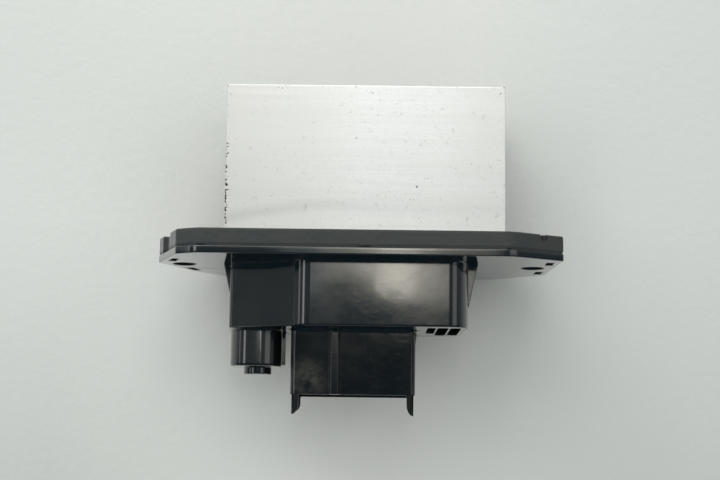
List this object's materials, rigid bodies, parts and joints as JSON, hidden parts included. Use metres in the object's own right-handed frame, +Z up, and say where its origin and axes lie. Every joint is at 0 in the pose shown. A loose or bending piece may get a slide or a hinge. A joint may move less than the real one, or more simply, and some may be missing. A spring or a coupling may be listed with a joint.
{
  "type": "blower motor resistor",
  "caption": "Finned heat sink on a moulded flange plate with a foam gasket, a control board in the box below it and a plug socket.",
  "frame": {"origin": "midway between the two screw holes, on the upper face of the flange plate, where the gasket lies", "axes": "+X along the flange towards its blunt end, +Y to its back edge, +Z up through the fins, as fitted with the fins in the air duct"},
  "size_m": [0.1027, 0.0465, 0.0828],
  "materials": {
    "housing_plastic": "glossy black glass-filled moulding with faint wear",
    "gasket_foam": "matte dark grey closed-cell foam",
    "extruded_aluminium": "bare extrusion with fine die lines and a few dark specks",
    "zinc_steel": "zinc plated",
    "tinned_brass": "satin tin plate",
    "insulating_sheet": "matte silicone sheet",
    "plated_copper": "dull plated copper",
    "epoxy": "fine matte black moulding compound",
    "board_laminate": "green solder mask",
    "can_sleeve": "shrunk dark blue sleeve",
    "sealing_rubber": "matte black rubber",
    "resistance_alloy": "bare copper-manganese strip",
    "ceramic": "fired ceramic",
    "solder": "bright solder"
  },
  "bodies": {
    "root": {"housing": "housing_plastic", "gasket": "gasket_foam", "heat_sink": "extruded_aluminium", "heat_sink_screws": "zinc_steel", "insulating_pad": "insulating_sheet", "transistor_tab": "plated_copper", "transistor_case": "epoxy", "transistor_leads": "tinned_brass", "transistor_washer": "zinc_steel", "transistor_screw": "zinc_steel", "circuit_board": "board_laminate", "board_screws": "zinc_steel", "terminal_supply": "tinned_brass", "terminal_signal": "tinned_brass", "terminal_ground": "tinned_brass", "terminal_motor": "tinned_brass", "capacitor_can": "can_sleeve", "capacitor_bung": "sealing_rubber", "capacitor_leads": "tinned_brass", "shunt_resistor": "resistance_alloy", "control_chip": "epoxy", "control_chip_legs": "tinned_brass", "diode_body": "epoxy", "diode_tabs": "tinned_brass", "chip_resistors": "ceramic", "chip_capacitors": "ceramic", "solder_joints": "solder"}
  },
  "joints": []
}
